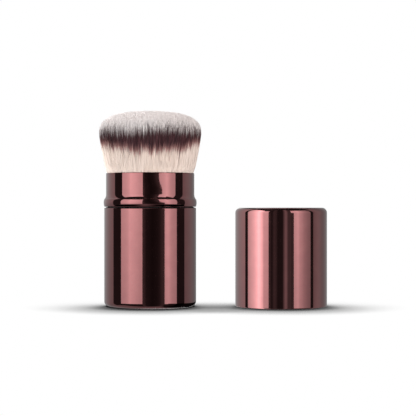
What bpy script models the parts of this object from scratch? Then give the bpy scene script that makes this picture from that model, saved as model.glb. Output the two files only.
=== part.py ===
"""Retractable makeup brush: a twist-up brush head in a round metal barrel, with its cap standing beside it.

The barrel stands on the surface. Turning the collar against the barrel drives two pins down a pair of
helical grooves, so the brush head draws back into the barrel and the cap can go over the neck.
Lengths are in metres and +Z is up. The origin is the middle of the barrel's flat underside.
"""

import math

import bmesh
import bpy
from mathutils import Matrix, Vector

mm = 0.001

# How finely round pieces are faceted
shell_facets = 48
inner_facets = 36
pin_facets = 12
ring_facets = 6
corner_steps = 3
bead_steps = 6
cove_steps = 4
crease_degrees = 35

# Drawn metal shells of the barrel and the cap
barrel_radius = 16.5 * mm
barrel_height = 35.4 * mm
shell_wall = 0.4 * mm
shell_corner = 1.8 * mm
shell_edge = 0.2 * mm

# Gaps: pieces that are pressed together, pieces that turn and pieces that slide
seat_gap = 0.1 * mm
running_gap = 0.2 * mm
slide_gap = 0.2 * mm

# Inner cup and ballast of the barrel
liner_wall = 0.5 * mm
barrel_weight_height = 3.0 * mm
weight_chamfer = 0.5 * mm

# Cam sleeve with its two helical grooves
cam_wall = 1.15 * mm
cam_skirt_wall = 0.4 * mm
groove_depth = 0.7 * mm
groove_gap = 0.2 * mm
groove_end_web = 1.0 * mm
washer_height = 0.4 * mm

# Guide sleeve, which turns with the collar, and the clip snapped into its foot
guide_wall = 0.7 * mm
guide_foot_gap = 0.55 * mm
slot_gap = 0.2 * mm
clip_height = 0.6 * mm
clip_foot_height = 0.55 * mm
clip_groove_depth = 0.35 * mm
clip_width = 0.95 * mm
clip_play = 0.3 * mm
clip_opening = 6.0 * mm

# Neck liner: a flange that turns on the thrust washer and a spigot inside the neck
flange_height = 2.9 * mm
spigot_height = 6.8 * mm
spigot_wall = 0.7 * mm
shoulder_height = 0.7 * mm
spigot_cone_drop = 1.1 * mm
spigot_cone_height = 3.0 * mm
drag_ring_section = 0.9 * mm
drag_ring_proud = 0.1 * mm
drag_groove_height = 1.2 * mm

# Collar: neck and bead in one shell
collar_gap = 0.35 * mm
bead_height = 2.75 * mm
bead_bulge = 0.2 * mm
bead_foot_inset = 0.2 * mm
cove_height = 1.6 * mm
neck_length = 7.7 * mm

# Brush carrier and its two pins
pin_radius = 1.2 * mm
pin_seat_depth = 3.2 * mm
pin_end_gap = 0.25 * mm
carrier_foot = 0.9 * mm
carrier_head = 0.6 * mm
carrier_spigot = 2.0 * mm
carrier_hollow_wall = 4.6 * mm
carrier_hollow_depth = 2.4 * mm

# Ferrule and the glue that holds the bristles in it
ferrule_wall = 0.3 * mm
ferrule_roll = 0.35 * mm
resin_height = 3.6 * mm
backing_height = 1.4 * mm

# Bristle head, measured above the neck
mouth_gap = 0.25 * mm
head_radius = 18.36 * mm
head_height = 22.3 * mm
head_widest_height = 14.2 * mm
dome_power = 2.6
strand_count = 300
strand_sides = 3
strand_radius = 0.5 * mm
strand_root = 0.2 * mm
strand_taper = 2.2 * mm
strand_tip_share = 0.45
fan_straight_share = 1.28
golden_angle = math.pi * (3 - math.sqrt(5))

# Cap, which stands on its mouth beside the barrel
cap_height = 35.4 * mm
cap_offset = 47.1 * mm
cap_fit_gap = 0.25 * mm
cap_liner_wall = 0.7 * mm
cap_liner_gap = 0.25 * mm
cap_weight_height = 2.4 * mm

# How far a cutter runs past what it cuts, and how near points are to be joined
overrun = 1.0 * mm
weld_distance = 0.001 * mm

# Radii from the outside in
shell_bore = barrel_radius - shell_wall
liner_radius = shell_bore - seat_gap
liner_bore = liner_radius - liner_wall
cam_radius = liner_bore - seat_gap
cam_bore = cam_radius - cam_wall
groove_radius = cam_bore + groove_depth
guide_radius = cam_bore - running_gap
guide_bore = guide_radius - guide_wall
ferrule_radius = guide_bore - slide_gap
ferrule_bore = ferrule_radius - ferrule_wall
bundle_radius = ferrule_bore - seat_gap
flange_radius = shell_bore - running_gap
neck_radius = shell_bore - cap_fit_gap
neck_bore = neck_radius - shell_wall
spigot_radius = neck_bore - seat_gap
spigot_bore = spigot_radius - spigot_wall
mouth_radius = neck_bore - mouth_gap

# Heights, from the underside up
liner_foot = shell_wall + seat_gap
weight_foot = liner_foot + liner_wall + seat_gap
weight_top = weight_foot + barrel_weight_height
cam_foot = weight_top + seat_gap
guide_foot = weight_top + guide_foot_gap
clip_foot = guide_foot + clip_foot_height
clip_top = clip_foot + clip_height
cam_step = clip_top + clip_play
collar_foot = barrel_height + collar_gap
flange_top = collar_foot - seat_gap
flange_foot = flange_top - flange_height
liner_top = flange_foot - running_gap
washer_top = flange_foot - running_gap
washer_foot = washer_top - washer_height
cam_top = washer_foot - seat_gap
cone_foot = flange_top - spigot_cone_drop
shoulder_foot = cone_foot - shoulder_height
guide_top = shoulder_foot - seat_gap
spigot_top = flange_top + spigot_height
bead_top = collar_foot + bead_height
neck_foot = bead_top + cove_height
neck_top = neck_foot + neck_length

# Pin travel: one turn of the collar takes the pins from the top of the grooves to the bottom
groove_half_width = pin_radius + groove_gap
pin_high = cam_top - groove_end_web - groove_half_width
pin_low = cam_step + groove_end_web + groove_half_width
stroke = pin_high - pin_low
helix_angle = math.atan2(stroke, math.tau * groove_radius)
groove_half_height = groove_half_width / math.cos(helix_angle)

# Brush parts, with the head raised
carrier_bottom = pin_high - pin_radius - carrier_foot
carrier_top = pin_high + pin_radius + carrier_head
carrier_spigot_top = carrier_top + carrier_spigot
ferrule_foot = carrier_top + seat_gap
resin_foot = carrier_spigot_top + seat_gap
resin_top = resin_foot + resin_height
backing_foot = resin_top + seat_gap
backing_top = backing_foot + backing_height
ferrule_top = backing_top
head_top = neck_top + head_height
head_widest = neck_top + head_widest_height


def clear_scene():
    for thing in list(bpy.data.objects):
        bpy.data.objects.remove(thing, do_unlink=True)


def finish(name, colour, roughness, metallic=0.0):
    """A Principled material of one colour, given as linear red, green and blue."""
    material = bpy.data.materials.new(name)
    material.use_nodes = True
    shader = material.node_tree.nodes["Principled BSDF"]
    shader.inputs["Base Color"].default_value = (*colour, 1.0)
    shader.inputs["Roughness"].default_value = roughness
    shader.inputs["Metallic"].default_value = metallic
    return material


def joint_frame(name, place, parent=None):
    """An empty that marks a body: its pieces turn about its Z axis or slide along it."""
    frame = bpy.data.objects.new(name, None)
    frame.empty_display_size = barrel_radius
    frame.parent = parent
    frame.location = Vector(place) - (parent.matrix_world.translation if parent else Vector())
    bpy.context.scene.collection.objects.link(frame)
    bpy.context.view_layer.update()
    return frame


def add_piece(name, shape, material, frame):
    """An object made from a bmesh drawn in assembly coordinates, with its origin on its frame."""
    bmesh.ops.recalc_face_normals(shape, faces=shape.faces)
    shape.transform(frame.matrix_world.inverted())
    mesh = bpy.data.meshes.new(name)
    shape.to_mesh(mesh)
    shape.free()
    mesh.shade_smooth()
    mesh.set_sharp_from_angle(angle=math.radians(crease_degrees))
    mesh.materials.append(material)
    piece = bpy.data.objects.new(name, mesh)
    piece.parent = frame
    bpy.context.scene.collection.objects.link(piece)
    return piece


def combine(piece, name, shape, operation, solver="EXACT"):
    """Cuts a shape out of a piece, or joins it on, by a Boolean whose helper isn't part of the model."""
    helper = add_piece(name, shape, piece.active_material, piece.parent)
    helper.hide_render = True
    helper.display_type = "WIRE"
    modifier = piece.modifiers.new(name, "BOOLEAN")
    modifier.operation = operation
    modifier.solver = solver
    modifier.object = helper


def arc(centre, radius, start, end, steps):
    """Points along an arc in the (radius, height) plane, from start to end in degrees."""
    if radius <= 0:
        return [centre]
    angles = [math.radians(start + (end - start) * step / steps) for step in range(steps + 1)]
    return [(centre[0] + radius * math.cos(a), centre[1] + radius * math.sin(a)) for a in angles]


def turned(outline, facets, middle=0.0):
    """A solid turned about a vertical axis at x = middle, from its closed (radius, height) outline."""
    shape = bmesh.new()
    points = [shape.verts.new((radius, 0.0, height)) for radius, height in outline]
    edges = [shape.edges.new(pair) for pair in zip(points, points[1:] + points[:1])]
    bmesh.ops.spin(
        shape,
        geom=points + edges,
        cent=(0.0, 0.0, 0.0),
        axis=(0.0, 0.0, 1.0),
        angle=math.tau,
        steps=facets,
    )
    bmesh.ops.remove_doubles(shape, verts=shape.verts, dist=weld_distance)
    on_axis = [edge for edge in shape.edges if not edge.link_faces]
    bmesh.ops.delete(shape, geom=on_axis, context="EDGES")
    shape.transform(Matrix.Translation((middle, 0.0, 0.0)))
    return shape


def block(low, high):
    """A box between two corners."""
    shape = bmesh.new()
    bmesh.ops.create_cube(shape, size=1.0)
    low, high = Vector(low), Vector(high)
    shape.transform(Matrix.Translation((low + high) / 2) @ Matrix.Diagonal((*(high - low), 1.0)))
    return shape


def rod(radius, start, end, height):
    """A round rod along X, from x = start to x = end."""
    shape = bmesh.new()
    bmesh.ops.create_cone(
        shape,
        cap_ends=True,
        segments=pin_facets,
        radius1=radius,
        radius2=radius,
        depth=abs(end - start),
    )
    turn = Matrix.Rotation(math.radians(90), 4, "Y")
    shape.transform(Matrix.Translation(((start + end) / 2, 0.0, height)) @ turn)
    return shape


def prisms_between(shape, rings):
    """Skins a row of rings with the same number of corners, and closes its two ends."""
    for first, second in zip(rings, rings[1:]):
        for corner in range(len(first)):
            after = (corner + 1) % len(first)
            shape.faces.new((first[corner], first[after], second[after], second[corner]))
    shape.faces.new(reversed(rings[0]))
    shape.faces.new(rings[-1])


def tube_outline(bore, radius, foot, top):
    return [(bore, foot), (radius, foot), (radius, top), (bore, top)]


def disc_outline(radius, foot, top, foot_chamfer=0.0, top_chamfer=0.0):
    return [
        (0.0, foot),
        (radius - foot_chamfer, foot),
        (radius, foot + foot_chamfer),
        (radius, top - top_chamfer),
        (radius - top_chamfer, top),
        (0.0, top),
    ]


def cup_outline(radius, foot, top, wall, corner):
    """A cup that opens upwards, with a rounded lower corner and an even wall."""
    inner_corner = max(corner - wall, 0.0)
    bore = radius - wall
    floor = foot + wall
    outer = arc((radius - corner, foot + corner), corner, -90, 0, corner_steps)
    inner = arc((bore - inner_corner, floor + inner_corner), inner_corner, 0, -90, corner_steps)
    rim = [(radius, top - shell_edge), (radius - shell_edge, top), (bore, top)]
    return [(0.0, foot), *outer, *rim, *inner, (0.0, floor)]


def barrel_shell(frame, material):
    outline = cup_outline(barrel_radius, 0.0, barrel_height, shell_wall, shell_corner)
    add_piece("barrel_shell", turned(outline, shell_facets), material, frame)


def barrel_liner(frame, material):
    """The plastic cup pressed into the shell, which follows the shell's rounded corner."""
    corner = max(shell_corner - shell_wall, 0.0)
    outline = cup_outline(liner_radius, liner_foot, liner_top, liner_wall, corner)
    add_piece("barrel_liner", turned(outline, inner_facets), material, frame)


def barrel_weight(frame, material):
    """A disc with its lower edge taken off, so that it beds in the liner's rounded corner."""
    chamfer = max(shell_corner - shell_wall - liner_wall, weight_chamfer)
    outline = disc_outline(liner_bore - seat_gap, weight_foot, weight_top, foot_chamfer=chamfer)
    add_piece("barrel_weight", turned(outline, inner_facets), material, frame)


def groove_bar(start_angle):
    """A bar of rectangular section that follows one turn of the helix and a little past each end.

    Its corners lie halfway along the sleeve's facets, so that no edges of the two coincide.
    """
    shape = bmesh.new()
    inner = cam_bore - overrun
    rings = []
    for step in range(-1, inner_facets + 3):
        share = (step - 0.5) / inner_facets
        angle = start_angle + math.tau * share
        height = pin_high - stroke * share
        section = tube_outline(inner, groove_radius, height - groove_half_height, height + groove_half_height)
        rings.append([shape.verts.new((r * math.cos(angle), r * math.sin(angle), z)) for r, z in section])
    prisms_between(shape, rings)
    return shape


def entry_notch(side):
    """The way down which a pin enters its groove, a little shallower than the groove itself."""
    near, far = sorted((side * (cam_bore - overrun), side * (groove_radius - seat_gap)))
    return block((near, -groove_half_width, pin_high), (far, groove_half_width, cam_top + overrun))


def cam_sleeve(frame, material):
    """A tube with two helical grooves inside, whose lower skirt makes room for the clip."""
    skirt_bore = cam_radius - cam_skirt_wall
    outline = [
        (skirt_bore, cam_foot),
        (cam_radius, cam_foot),
        (cam_radius, cam_top),
        (cam_bore, cam_top),
        (cam_bore, cam_step),
        (skirt_bore, cam_step),
    ]
    sleeve = add_piece("cam_sleeve", turned(outline, inner_facets), material, frame)
    combine(sleeve, "groove_right", groove_bar(0.0), "DIFFERENCE")
    combine(sleeve, "groove_left", groove_bar(math.pi), "DIFFERENCE")
    combine(sleeve, "notch_right", entry_notch(1), "DIFFERENCE", "MANIFOLD")
    combine(sleeve, "notch_left", entry_notch(-1), "DIFFERENCE", "MANIFOLD")


def thrust_washer(frame, material):
    outline = tube_outline(cam_bore, cam_radius, washer_foot, washer_top)
    add_piece("thrust_washer", turned(outline, inner_facets), material, frame)


def guide_sleeve(frame, material):
    """The tube with two long slots that keeps the brush from turning in the collar."""
    clip_floor = guide_radius - clip_groove_depth
    outline = [
        (guide_bore, guide_foot),
        (guide_radius, guide_foot),
        (guide_radius, clip_foot - seat_gap),
        (clip_floor, clip_foot - seat_gap),
        (clip_floor, clip_top + seat_gap),
        (guide_radius, clip_top + seat_gap),
        (guide_radius, guide_top),
        (guide_bore, guide_top),
    ]
    sleeve = add_piece("guide_sleeve", turned(outline, inner_facets), material, frame)
    half_width = pin_radius + slot_gap
    slots = block(
        (-guide_radius - overrun, -half_width, pin_low - half_width),
        (guide_radius + overrun, half_width, pin_high + half_width),
    )
    combine(sleeve, "guide_slots", slots, "DIFFERENCE")


def neck_liner(frame, material):
    """The plastic ring that joins the guide sleeve to the neck, with a groove for the drag ring."""
    seat_bore = guide_radius + seat_gap
    drag_floor = flange_radius + drag_ring_proud - drag_ring_section - seat_gap
    drag_middle = (flange_foot + flange_top) / 2
    drag_foot = drag_middle - drag_groove_height / 2
    drag_top = drag_middle + drag_groove_height / 2
    outline = [
        (seat_bore, flange_foot),
        (flange_radius, flange_foot),
        (flange_radius, drag_foot),
        (drag_floor, drag_foot),
        (drag_floor, drag_top),
        (flange_radius, drag_top),
        (flange_radius, flange_top),
        (spigot_radius, flange_top),
        (spigot_radius, spigot_top),
        (spigot_bore, spigot_top),
        (spigot_bore, cone_foot + spigot_cone_height),
        (guide_bore, cone_foot),
        (guide_bore, shoulder_foot),
        (seat_bore, shoulder_foot),
    ]
    add_piece("neck_liner", turned(outline, inner_facets), material, frame)


def drag_ring(frame, material):
    """The soft ring in the flange's groove that makes the twist smooth."""
    radius = drag_ring_section / 2
    centre = (flange_radius + drag_ring_proud - radius, (flange_foot + flange_top) / 2)
    outline = arc(centre, radius, 0, 360, ring_facets)[:-1]
    add_piece("drag_ring", turned(outline, inner_facets), material, frame)


def retaining_clip(frame, material):
    """An open ring, snapped into the foot of the guide sleeve under the step of the cam sleeve."""
    bore = guide_radius - clip_groove_depth + seat_gap
    outline = tube_outline(bore, bore + clip_width, clip_foot, clip_top)
    clip = add_piece("retaining_clip", turned(outline, inner_facets), material, frame)
    opening = block(
        (-clip_opening / 2, 0.0, clip_foot - overrun),
        (clip_opening / 2, bore + clip_width + overrun, clip_top + overrun),
    )
    combine(clip, "clip_opening", opening, "DIFFERENCE")


def collar_outer_line():
    """The outside of the collar, from the foot of the bead to the rim of the neck."""
    half = bead_height / 2
    foot_radius = barrel_radius - bead_foot_inset
    bulge = bead_foot_inset + bead_bulge
    line = []
    for step in range(bead_steps + 1):
        away = 2 * step / bead_steps - 1
        line.append((foot_radius + bulge * math.sqrt(1 - away * away), collar_foot + half * (1 + away)))
    span = foot_radius - neck_radius
    for step in range(1, cove_steps + 1):
        share = step / cove_steps
        line.append((neck_radius + span * (1 - share) ** 2, bead_top + cove_height * share))
    return line + [(neck_radius, neck_top - shell_edge), (neck_radius - shell_edge, neck_top)]


def collar_shell(frame, material):
    """Neck and bead drawn from one sheet, so the inside follows the outside a wall's thickness away."""
    outer = collar_outer_line()
    inner = [(radius - shell_wall, height) for radius, height in outer[:-2]]
    outline = [*outer, (neck_bore, neck_top), *reversed(inner)]
    add_piece("collar_shell", turned(outline, shell_facets), material, frame)


def brush_carrier(frame, material):
    """The piston that carries the ferrule, hollowed from below, with a hole for each pin."""
    spigot = ferrule_bore - seat_gap
    hollow = ferrule_radius - carrier_hollow_wall
    hollow_top = carrier_bottom + carrier_hollow_depth
    outline = [
        (hollow, carrier_bottom),
        (ferrule_radius, carrier_bottom),
        (ferrule_radius, carrier_top),
        (spigot, carrier_top),
        (spigot, carrier_spigot_top),
        (0.0, carrier_spigot_top),
        (0.0, hollow_top),
        (hollow, hollow_top),
    ]
    carrier = add_piece("brush_carrier", turned(outline, inner_facets), material, frame)
    for side, sign in (("right", 1), ("left", -1)):
        inner_end = sign * (ferrule_radius - pin_seat_depth)
        outer_end = sign * (ferrule_radius + overrun)
        hole = rod(pin_radius + seat_gap, inner_end, outer_end, pin_high)
        combine(carrier, f"pin_hole_{side}", hole, "DIFFERENCE")


def guide_pins(frame, material):
    for side, sign in (("right", 1), ("left", -1)):
        inner_end = sign * (ferrule_radius - pin_seat_depth + seat_gap)
        outer_end = sign * (groove_radius - pin_end_gap)
        pin = rod(pin_radius, inner_end, outer_end, pin_high)
        add_piece(f"guide_pin_{side}", pin, material, frame)


def ferrule(frame, material):
    """A thin tube whose rim is rolled outwards a little, so that it doesn't cut the bristles."""
    outline = [
        (ferrule_bore, ferrule_foot),
        (ferrule_radius, ferrule_foot),
        (ferrule_radius, ferrule_top - ferrule_roll),
        (ferrule_radius - ferrule_wall / 2, ferrule_top),
        (ferrule_bore, ferrule_top - ferrule_roll),
    ]
    add_piece("ferrule", turned(outline, inner_facets), material, frame)


def resin_plug(frame, material):
    outline = tube_outline(0.0, bundle_radius, resin_foot, resin_top)
    add_piece("resin_plug", turned(outline, inner_facets), material, frame)


def bundle_outline(height):
    """The outer radius of the bundle of bristles at a height, up to its widest place."""
    if height < neck_top:
        share = (height - backing_top) / (neck_top - backing_top)
        return bundle_radius + (mouth_radius - bundle_radius) * max(share, 0.0)
    share = min((height - neck_top) / head_widest_height, 1.0)
    bulge = fan_straight_share * share + (1 - fan_straight_share) * share**3
    return mouth_radius + (head_radius - mouth_radius) * bulge


def strand_tip(share):
    """The height of the dome over a strand at this share of the bundle's radius."""
    dome = head_top - head_widest
    return head_widest + dome * (1 - share**dome_power) ** (1 / dome_power)


def strand_places():
    """Shares of the bundle's radius and angles that spread the strands evenly, as in a sunflower."""
    outermost_share = 1 - strand_radius / bundle_radius
    for index in range(strand_count):
        yield outermost_share * math.sqrt((index + 0.5) / strand_count), index * golden_angle


def bristle_strands():
    """Separate tapering prisms that fan out from the backing and end on the dome."""
    shape = bmesh.new()
    for share, angle in strand_places():
        outwards = Vector((math.cos(angle), math.sin(angle), 0.0))
        tip = strand_tip(share)
        rings = []
        for height in (backing_top - strand_root, neck_top, tip - strand_taper, tip):
            spread = bundle_outline(height)
            size = strand_radius * spread / bundle_radius
            if height == tip:
                size *= strand_tip_share
            centre = outwards * share * spread + Vector((0.0, 0.0, height))
            turns = [angle + math.tau * corner / strand_sides for corner in range(strand_sides)]
            corners = [centre + size * Vector((math.cos(turn), math.sin(turn), 0.0)) for turn in turns]
            rings.append([shape.verts.new(corner) for corner in corners])
        prisms_between(shape, rings)
    return shape


def least_strand_gap():
    """The narrowest room between two strands where the bundle is tightest."""
    places = [(share * math.cos(angle), share * math.sin(angle)) for share, angle in strand_places()]
    pairs = ((first, second) for index, first in enumerate(places) for second in places[index + 1 :])
    return bundle_radius * min(math.dist(*pair) for pair in pairs) - 2 * strand_radius


def bristle_head(frame, material):
    """The bristles, fused to the slice of resin in which they are set."""
    outline = tube_outline(0.0, bundle_radius, backing_foot, backing_top)
    head = add_piece("bristle_head", turned(outline, inner_facets), material, frame)
    combine(head, "strands", bristle_strands(), "UNION")
    print(f"Least gap between strands: {least_strand_gap() / mm:.2f} mm")


def cap_shell(frame, material):
    """The same drawn cup as the barrel, standing on its mouth."""
    cup = cup_outline(barrel_radius, 0.0, cap_height, shell_wall, shell_corner)
    outline = [(radius, cap_height - height) for radius, height in cup]
    add_piece("cap_shell", turned(outline, shell_facets, cap_offset), material, frame)


def cap_inside(frame, plastic, steel):
    """A liner that stops short of the mouth, where the neck goes in, and a weight under the top."""
    weight_high = cap_height - shell_wall - seat_gap
    weight_low = weight_high - cap_weight_height
    high = weight_low - seat_gap
    low = neck_top - bead_top + cap_liner_gap
    bore = liner_radius - cap_liner_wall
    ceiling = high - cap_liner_wall
    outline = [
        (bore, low),
        (liner_radius, low),
        (liner_radius, high),
        (0.0, high),
        (0.0, ceiling),
        (bore, ceiling),
    ]
    add_piece("cap_liner", turned(outline, inner_facets, cap_offset), plastic, frame)
    chamfer = max(shell_corner - shell_wall, weight_chamfer)
    outline = disc_outline(liner_radius, weight_low, weight_high, top_chamfer=chamfer)
    add_piece("cap_weight", turned(outline, inner_facets, cap_offset), steel, frame)


def build():
    clear_scene()
    lacquer = finish("plum_lacquered_aluminium", (0.27, 0.115, 0.12), 0.12, 1.0)
    plastic = finish("black_abs", (0.02, 0.018, 0.018), 0.45)
    acetal = finish("ivory_acetal", (0.62, 0.58, 0.5), 0.4)
    steel = finish("bright_steel", (0.55, 0.55, 0.55), 0.3, 1.0)
    silicone = finish("black_silicone", (0.03, 0.03, 0.03), 0.6)
    aluminium = finish("bare_aluminium", (0.75, 0.74, 0.72), 0.25, 1.0)
    resin = finish("amber_epoxy", (0.45, 0.3, 0.14), 0.35)
    fibre = finish("two_tone_bristle", (0.62, 0.5, 0.43), 0.6)

    barrel = joint_frame("barrel_frame", (0.0, 0.0, 0.0))
    collar = joint_frame("collar_frame", (0.0, 0.0, collar_foot), barrel)
    brush = joint_frame("brush_frame", (0.0, 0.0, pin_high), collar)
    cap = joint_frame("cap_frame", (cap_offset, 0.0, 0.0), barrel)

    barrel_shell(barrel, lacquer)
    barrel_liner(barrel, plastic)
    barrel_weight(barrel, steel)
    cam_sleeve(barrel, acetal)
    thrust_washer(barrel, acetal)

    collar_shell(collar, lacquer)
    neck_liner(collar, plastic)
    guide_sleeve(collar, plastic)
    drag_ring(collar, silicone)
    retaining_clip(collar, steel)

    brush_carrier(brush, acetal)
    guide_pins(brush, steel)
    ferrule(brush, aluminium)
    resin_plug(brush, resin)
    bristle_head(brush, fibre)

    cap_shell(cap, lacquer)
    cap_inside(cap, plastic, steel)


build()
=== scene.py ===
import math

import bmesh
import bpy
from mathutils import Matrix, Vector


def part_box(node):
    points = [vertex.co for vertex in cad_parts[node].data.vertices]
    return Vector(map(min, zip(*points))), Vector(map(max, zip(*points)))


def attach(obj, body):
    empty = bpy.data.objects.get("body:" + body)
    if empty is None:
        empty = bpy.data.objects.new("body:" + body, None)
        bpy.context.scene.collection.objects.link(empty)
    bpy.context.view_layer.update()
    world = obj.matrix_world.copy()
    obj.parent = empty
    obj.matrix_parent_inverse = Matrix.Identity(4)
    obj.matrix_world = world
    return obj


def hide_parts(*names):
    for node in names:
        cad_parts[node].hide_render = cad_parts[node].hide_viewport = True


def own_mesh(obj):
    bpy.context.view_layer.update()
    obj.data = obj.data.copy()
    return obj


# Retractable makeup brush, raised, with its cap standing mouth down beside it.
# Lengths are metres unless a name says mm, and heights are up from the table.

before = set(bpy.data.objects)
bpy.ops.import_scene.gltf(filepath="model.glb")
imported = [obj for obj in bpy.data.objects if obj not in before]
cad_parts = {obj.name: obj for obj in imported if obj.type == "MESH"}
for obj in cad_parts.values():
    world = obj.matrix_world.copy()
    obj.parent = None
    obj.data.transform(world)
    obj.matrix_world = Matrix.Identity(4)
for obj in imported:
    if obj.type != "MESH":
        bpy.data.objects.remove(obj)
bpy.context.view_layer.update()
mm = 0.001
weld = 0.001 * mm        # points nearer than this are one
print("frame:", len(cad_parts), "CAD nodes")


def linear(hexColour):
    # sRGB hex to the linear colour that shaders want
    values = [int(hexColour[i:i + 2], 16) / 255 for i in (1, 3, 5)]
    return (*[v / 12.92 if v <= 0.04045 else ((v + 0.055) / 1.055) ** 2.4 for v in values], 1)


# settings of the two commonest sums
multiply, multiplyAdd = {"operation": "MULTIPLY"}, {"operation": "MULTIPLY_ADD"}


def addNode(tree, kind, settings=None, links=None):
    # one node, its settings, and what goes in: a value, a socket, or a node for that node's first output
    node = tree.nodes.new(kind)
    for name, value in (settings or {}).items():
        setattr(node, name, value)
    for name, value in (links or {}).items():
        if isinstance(value, bpy.types.Node):
            value = value.outputs[0]
        if isinstance(value, bpy.types.NodeSocket):
            tree.links.new(value, node.inputs[name])
        else:
            node.inputs[name].default_value = value
    return node


def newMaterial(name):
    # a material with an empty node tree
    material = bpy.data.materials.new(name)
    material.use_nodes = True
    material.node_tree.nodes.clear()
    return material, material.node_tree


def surfaced(material, shader):
    # the material, finished with its shader
    addNode(material.node_tree, "ShaderNodeOutputMaterial", links={"Surface": shader})
    return material


def addObject(name, data):
    piece = bpy.data.objects.new(name, data)
    bpy.context.scene.collection.objects.link(piece)
    return piece


def rampStops(node, stops):
    # a colour ramp's stops, as (place, linear colour)
    while len(node.color_ramp.elements) < len(stops):
        node.color_ramp.elements.new(0.5)
    for element, (place, colour) in zip(node.color_ramp.elements, stops):
        element.position, element.color = place, colour
    return node


def grey(level):
    return (level, level, level, 1)


def perMetre(sizeMm):
    # texture scale at which one feature is this many millimetres wide
    return 1 / (sizeMm * mm)


# Materials

def plumLacquer():
    # Deep drawn aluminium under a tinted clear lacquer: a mirror with a plum cast and a hard clear gloss.
    # The lacquer levels out to a very long, very shallow wave, and rubbed spots scatter a little more light.
    settings = {
        "colour": "#8d5253", "rubbedColour": "#935a5a", "roughness": (0.035, 0.085), "coatRoughness": 0.02,
        "waveMm": 7.0, "waveDepthMm": 0.0012, "rubbedMm": 3.5,
    }
    material, tree = newMaterial("plumLacquerOnDrawnAluminium")
    place = addNode(tree, "ShaderNodeTexCoord").outputs["Object"]
    rubbed = addNode(tree, "ShaderNodeTexNoise", links={
        "Vector": place, "Scale": perMetre(settings["rubbedMm"]), "Detail": 4.0, "Roughness": 0.6})
    colour = rampStops(addNode(tree, "ShaderNodeValToRGB", links={"Fac": rubbed}), [
        (0.35, linear(settings["colour"])), (0.75, linear(settings["rubbedColour"]))])
    low, high = settings["roughness"]
    roughness = addNode(tree, "ShaderNodeMapRange", links={
        "Value": rubbed, "From Min": 0.4, "From Max": 0.8, "To Min": low, "To Max": high})
    wave = addNode(tree, "ShaderNodeTexNoise", links={
        "Vector": place, "Scale": perMetre(settings["waveMm"]), "Detail": 0.0})
    bump = addNode(tree, "ShaderNodeBump", links={
        "Height": wave, "Distance": settings["waveDepthMm"] * mm, "Strength": 1.0})
    shader = addNode(tree, "ShaderNodeBsdfPrincipled", links={
        "Base Color": colour, "Metallic": 1.0, "Roughness": roughness, "Normal": bump,
        "Coat Weight": 1.0, "Coat Roughness": settings["coatRoughness"]})
    return surfaced(material, shader)


def mouldedPlastic(name, colour, mottled, roughness, grainMm, grainDepthMm, ior):
    # Injection-moulded plastic: even colour with a faint mottle from the flow, and the mould's spark grain
    settings = {"flowMm": 6.0, "polished": 0.05, "dulled": 0.08}
    material, tree = newMaterial(name)
    place = addNode(tree, "ShaderNodeTexCoord").outputs["Object"]
    flow = addNode(tree, "ShaderNodeTexNoise", links={
        "Vector": place, "Scale": perMetre(settings["flowMm"]), "Detail": 2.0})
    tint = rampStops(addNode(tree, "ShaderNodeValToRGB", links={"Fac": flow}), [
        (0.35, linear(colour)), (0.7, linear(mottled))])
    grain = addNode(tree, "ShaderNodeTexNoise", links={
        "Vector": place, "Scale": perMetre(grainMm), "Detail": 3.0})
    spread = addNode(tree, "ShaderNodeMapRange", links={
        "Value": grain, "To Min": roughness - settings["polished"], "To Max": roughness + settings["dulled"]})
    bump = addNode(tree, "ShaderNodeBump", links={
        "Height": grain, "Distance": grainDepthMm * mm, "Strength": 1.0})
    shader = addNode(tree, "ShaderNodeBsdfPrincipled", links={
        "Base Color": tint, "Roughness": spread, "Normal": bump, "IOR": ior})
    return surfaced(material, shader)


def turnedMetal(name, colour, worn, roughness, lineMm, lineDepthMm):
    # Turned or drawn bare metal: rings from the tool or the die, a soft satin streak in every highlight
    settings = {"acrossShare": 0.02, "spread": 0.08}        # a ring hardly changes along its way round
    across = settings["acrossShare"]
    material, tree = newMaterial(name)
    place = addNode(tree, "ShaderNodeTexCoord").outputs["Object"]
    alongOnly = addNode(tree, "ShaderNodeMapping", links={"Vector": place, "Scale": (across, across, 1.0)})
    lines = addNode(tree, "ShaderNodeTexNoise", links={
        "Vector": alongOnly, "Scale": perMetre(lineMm), "Detail": 8.0})
    tint = rampStops(addNode(tree, "ShaderNodeValToRGB", links={"Fac": lines}), [
        (0.3, linear(colour)), (0.7, linear(worn))])
    spread = addNode(tree, "ShaderNodeMapRange", links={
        "Value": lines, "To Min": roughness - settings["spread"], "To Max": roughness + settings["spread"]})
    bump = addNode(tree, "ShaderNodeBump", links={
        "Height": lines, "Distance": lineDepthMm * mm, "Strength": 1.0})
    shader = addNode(tree, "ShaderNodeBsdfPrincipled", links={
        "Base Color": tint, "Metallic": 1.0, "Roughness": spread, "Normal": bump})
    return surfaced(material, shader)


def castResin():
    # Two-part epoxy, cast round the roots: clear amber that clouds towards the fibres
    settings = {"clear": "#a87f4a", "clouded": "#c9a774", "cloudMm": 2.5, "depthMm": 1.0}
    material, tree = newMaterial("castEpoxyResin")
    place = addNode(tree, "ShaderNodeTexCoord").outputs["Object"]
    cloud = addNode(tree, "ShaderNodeTexNoise", links={
        "Vector": place, "Scale": perMetre(settings["cloudMm"]), "Detail": 5.0})
    tint = rampStops(addNode(tree, "ShaderNodeValToRGB", links={"Fac": cloud}), [
        (0.35, linear(settings["clear"])), (0.65, linear(settings["clouded"]))])
    shader = addNode(tree, "ShaderNodeBsdfPrincipled", links={
        "Base Color": tint, "Roughness": 0.3, "IOR": 1.55, "Subsurface Weight": 0.2,
        "Subsurface Scale": settings["depthMm"] * mm})
    return surfaced(material, shader)


# Bristle head: sizes, from the frame

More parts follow.
